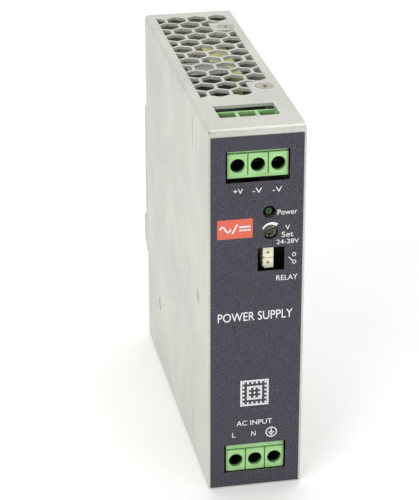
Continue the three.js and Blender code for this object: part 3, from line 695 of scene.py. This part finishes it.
def tape_core():
    """Polyester tape round the outside of the transformer's core, in millimetres."""
    low, high = (Vector(point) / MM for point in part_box("transformer_core"))
    inner, outer, corner, steps = 0.02, 0.28, 0.9, 4
    x0, x1 = high.x - 9.2, high.x - 1.0
    loops = []
    for grow in (inner, outer):
        loop = []
        y0, y1, z0, z1 = low.y - grow, high.y + grow, low.z - grow, high.z + grow
        for cy, cz, start in ((y1 - corner, z0 + corner, -90), (y1 - corner, z1 - corner, 0),
                              (y0 + corner, z1 - corner, 90), (y0 + corner, z0 + corner, 180)):
            for step in range(steps + 1):
                a = math.radians(start + 90 * step / steps)
                loop.append((cy + corner * math.cos(a), cz + corner * math.sin(a)))
        loops.append(loop)
    work = bmesh.new()
    rows = [[work.verts.new((x * MM, y * MM, z * MM)) for y, z in loop]
            for loop, x in ((loops[0], x0), (loops[1], x0), (loops[1], x1), (loops[0], x1))]
    for first, second in zip(rows, rows[1:] + rows[:1]):
        join_loops(work, first, second)
    mesh = finished_mesh("transformer_core_tape", work)
    add_object("transformer_core_tape", mesh, "tape_yellow", "housing")


def capacitor_end(node):
    """The aluminium end that shows inside the sleeve's rolled lip."""
    radius = radius_of(node)
    hole, lip, crest = 0.3, radius - 1.1, radius - 1.5
    profile = [(hole, -0.2), (lip, -0.2), (lip, 0.12), (crest, 0.2), (radius * 0.5, 0.1),
               (hole, 0.1)]
    centre = middle_of(node)
    centre.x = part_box(node)[1].x
    lathe(node + "_end", centre, (1, 0, 0), profile, "heatsink")


def fuse_caps():
    """A metal cap over each end of the fuse."""
    low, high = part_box("fuse")
    radius = radius_of("fuse")
    inner, outer, length = radius - 0.3, radius + 0.06, 6
    start, end = -0.15, length + 0.1
    profile = [(inner, start), (outer, start), (outer, end), (inner, end)]
    centre = middle_of("fuse")
    for place, y in (("front", low.y), ("rear", high.y - length * MM)):
        centre.y = y
        lathe(f"fuse_cap_{place}", centre, (0, 1, 0), profile,
              "terminal_metal", sides=24)


def detail_parts():
    coil_spring()
    lamp_painted_reflection()
    wind_choke("output_choke", 3.0, 20, 0.75)
    wind_choke("filter_choke", 4.2, 26, 0.9)
    tape_core()
    for kind in ("bulk", "output"):
        for place in ("front", "rear"):
            capacitor_end(f"{kind}_capacitor_{place}")
    fuse_caps()


# ---------------------------------------------------------------- stage

DROP = 0.05 * MM  # the floor's depth below the case, so that the two faces stay apart

# Name, place, the panel's width and height in metres, and its power in watts.
LIGHTS = (
    ("key", (-0.9, -0.9, 0.9), (0.9, 0.9), 9),
    ("fill", (0.8, -1.1, 0.5), (0.8, 0.8), 3.6),
    ("top", (0.1, 0.3, 1.2), (0.9, 0.9), 6),
)
AIM = (0, 0, 0.07)  # where the lights point
SKY_STRENGTH = 0.52

# The camera that was fitted to the photograph: front left, above. Angles in degrees.
CAMERA_PLACE = (-0.1237, -0.61105, 0.3391)
ELEVATION, AZIMUTH = 24.36, 11.20
LENS_MM, SENSOR_MM = 144.6, 36.0


def build_stage():
    """A white floor that bends up into a wall behind the object, in metres."""
    size, wall, bend, rise, steps = 3.0, 1.0, 0.5, 2.0, 12
    profile = [(-size, -DROP), (wall, -DROP)]
    for step in range(1, steps + 1):
        angle = math.pi / 2 * step / steps
        profile.append((wall + bend * math.sin(angle), bend * (1 - math.cos(angle)) - DROP))
    profile.append((wall + bend, rise))
    work = bmesh.new()
    left, right = ([work.verts.new((x, y, z)) for y, z in profile] for x in (-size, size))
    for i in range(len(profile) - 1):
        work.faces.new([left[i], right[i], right[i + 1], left[i + 1]])
    mesh = bpy.data.meshes.new("floor")
    work.to_mesh(mesh)
    work.free()
    mesh.polygons.foreach_set("use_smooth", [True] * len(mesh.polygons))
    floor = bpy.data.objects.new("floor", mesh)
    bpy.context.scene.collection.objects.link(floor)
    paint(floor, "floor")


def area_light(name, place, size, watts):
    data = bpy.data.lights.new(name, "AREA")
    data.shape = "RECTANGLE"
    data.size, data.size_y = size
    data.energy = watts
    lamp = bpy.data.objects.new(name, data)
    bpy.context.scene.collection.objects.link(lamp)
    lamp.location = place
    lamp.rotation_euler = (Vector(AIM) - Vector(place)).to_track_quat("-Z", "Y").to_euler()


def light_scene():
    world = bpy.data.worlds.new("studio")
    world.use_nodes = True
    background = world.node_tree.nodes["Background"]
    background.inputs["Color"].default_value = WHITE
    background.inputs["Strength"].default_value = SKY_STRENGTH
    bpy.context.scene.world = world
    for entry in LIGHTS:
        area_light(*entry)
    bpy.context.scene.view_settings.view_transform = "Standard"


def place_camera():
    data = bpy.data.cameras.new("camera")
    data.lens = LENS_MM
    data.sensor_width = SENSOR_MM
    data.clip_start, data.clip_end = 0.01, 20
    camera = bpy.data.objects.new("camera", data)
    bpy.context.scene.collection.objects.link(camera)
    camera.location = CAMERA_PLACE
    camera.rotation_euler = (math.radians(90 - ELEVATION), 0, math.radians(-AZIMUTH))
    bpy.context.scene.camera = camera


dress_solids()
print_label()
detail_parts()
build_stage()
light_scene()
place_camera()
